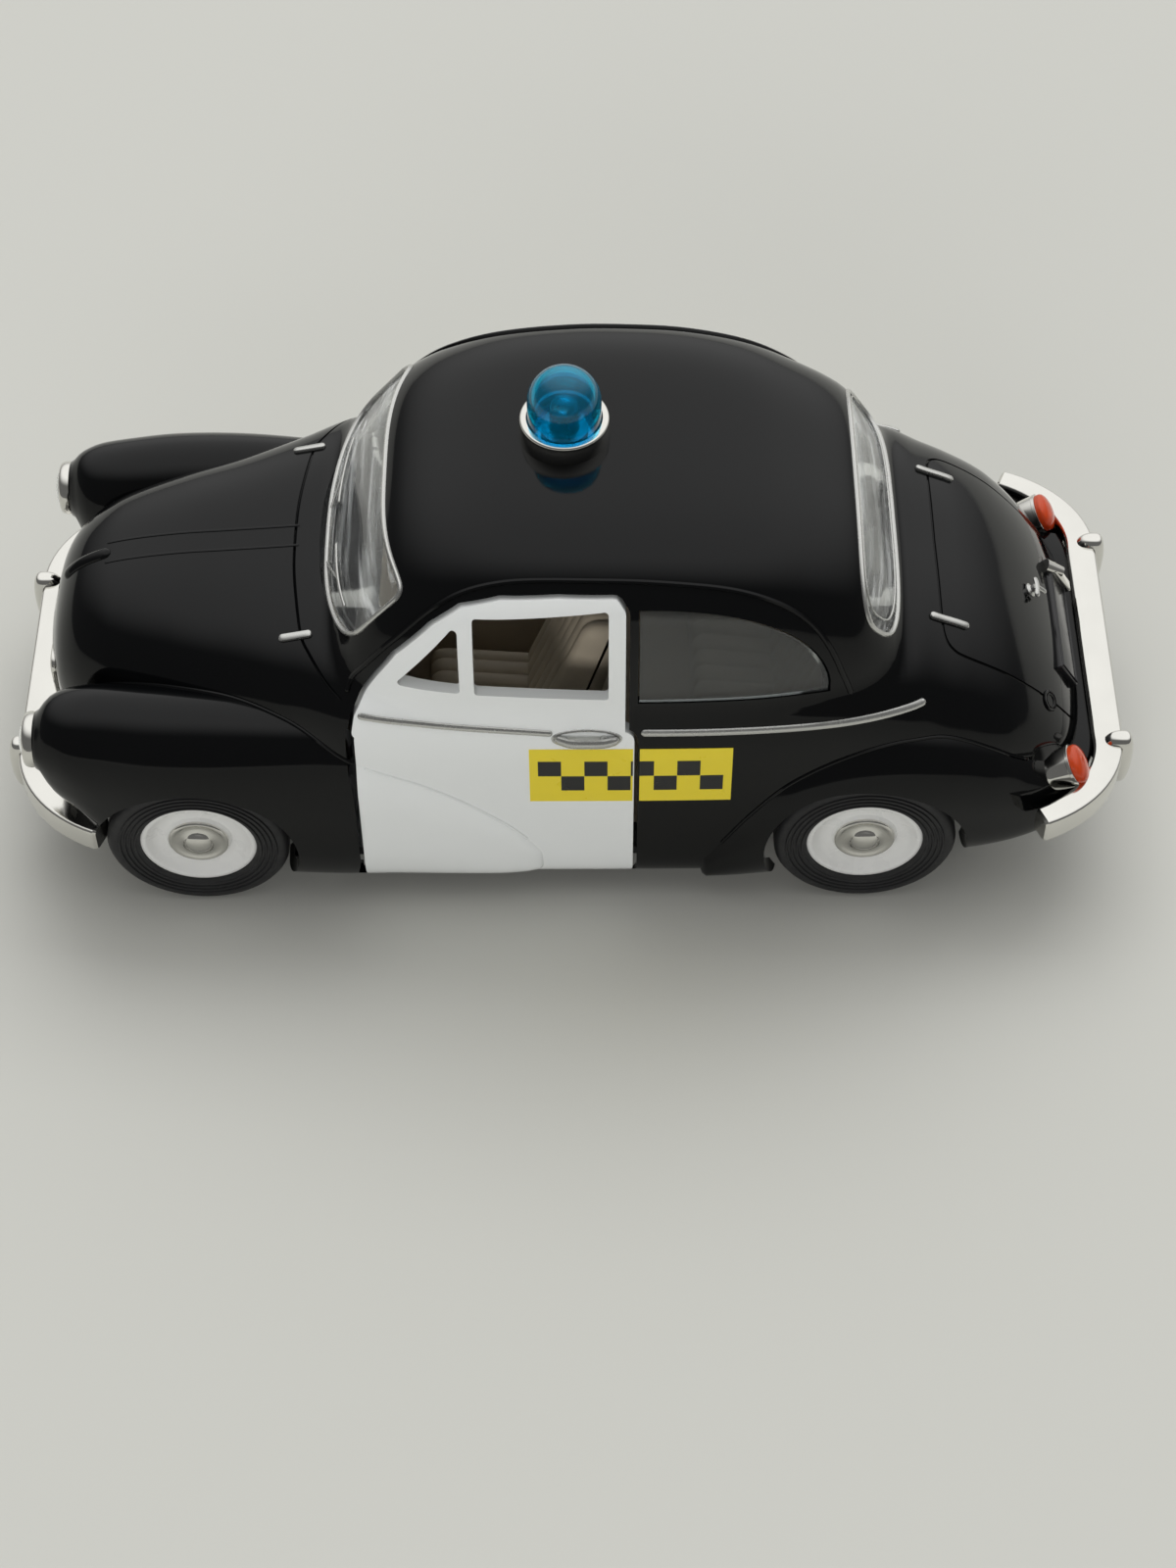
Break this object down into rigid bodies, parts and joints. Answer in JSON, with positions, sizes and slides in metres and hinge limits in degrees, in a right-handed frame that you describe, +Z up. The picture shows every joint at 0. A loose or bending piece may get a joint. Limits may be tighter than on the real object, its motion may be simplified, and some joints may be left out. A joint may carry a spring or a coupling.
{
  "type": "toy police car",
  "caption": "Die-cast style toy police saloon with rounded black body, white opening doors, plated bumpers, a blue roof beacon and free-rolling wheels on steel axles",
  "frame": {"origin": "on the ground under the middle of the bounding box", "axes": "+X forward, +Y to the left of the car, +Z up"},
  "size_m": [0.1168, 0.05, 0.0545],
  "materials": {
    "black_paint": "gloss",
    "white_paint": "gloss",
    "clear_glass": "clear",
    "dark_glass": "tinted",
    "steel": "satin",
    "base_black": "matte",
    "beige_plastic": "matte",
    "dark_plastic": "satin",
    "plating": "bright",
    "silver_paint": "bright",
    "clear_lens": "clear",
    "red_lens": "clear",
    "blue_dome": "clear",
    "plate_black": "gloss",
    "tyre_rubber": "matte",
    "white_plastic": "gloss"
  },
  "bodies": {
    "body": {"body_shell": "black_paint", "windscreen": "clear_glass", "rear_window": "clear_glass", "left_quarter_window": "dark_glass", "right_quarter_window": "dark_glass", "left_hinge_pin": "steel", "right_hinge_pin": "steel", "left_hinge_bracket": "base_black", "right_hinge_bracket": "base_black", "interior_tub": "beige_plastic", "dashboard": "beige_plastic", "steering_wheel": "dark_plastic", "baseplate": "base_black", "base_screws": "steel", "front_bumper": "plating", "rear_bumper": "plating", "grille": "plating", "left_headlamp_rim": "plating", "right_headlamp_rim": "plating", "left_headlamp_lens": "clear_lens", "right_headlamp_lens": "clear_lens", "left_tail_housing": "plating", "right_tail_housing": "plating", "left_tail_lens": "red_lens", "right_tail_lens": "red_lens", "beacon_base": "plating", "beacon_dome": "blue_dome", "beacon_bulb": "clear_lens", "bonnet_hinges": "silver_paint", "boot_hinges": "silver_paint", "boot_handle": "silver_paint", "rear_plate": "plate_black"},
    "left_door": {"left_door": "white_paint", "left_hinge_tube": "white_paint"},
    "right_door": {"right_door": "white_paint", "right_hinge_tube": "white_paint"},
    "front_wheels": {"front_axle": "steel", "front_left_rim": "white_plastic", "front_left_tyre": "tyre_rubber", "front_left_hubcap": "plating", "front_right_rim": "white_plastic", "front_right_tyre": "tyre_rubber", "front_right_hubcap": "plating"},
    "rear_wheels": {"rear_axle": "steel", "rear_left_rim": "white_plastic", "rear_left_tyre": "tyre_rubber", "rear_left_hubcap": "plating", "rear_right_rim": "white_plastic", "rear_right_tyre": "tyre_rubber", "rear_right_hubcap": "plating"}
  },
  "joints": [
    {"name": "left_door_hinge", "type": "hinge", "parent": "body", "child": "left_door", "pos_m": [0.02022, 0.0216, 0.0147], "axis": [0, 0, -1], "range_deg": [0, 60]},
    {"name": "right_door_hinge", "type": "hinge", "parent": "body", "child": "right_door", "pos_m": [0.02022, -0.0216, 0.0147], "axis": [0, 0, 1], "range_deg": [0, 60]},
    {"name": "front_axle_spin", "type": "hinge", "parent": "body", "child": "front_wheels", "pos_m": [0.03812, 0, 0.0093], "axis": [0, 1, 0], "continuous": true},
    {"name": "rear_axle_spin", "type": "hinge", "parent": "body", "child": "rear_wheels", "pos_m": [-0.03012, 0, 0.0093], "axis": [0, 1, 0], "continuous": true}
  ]
}
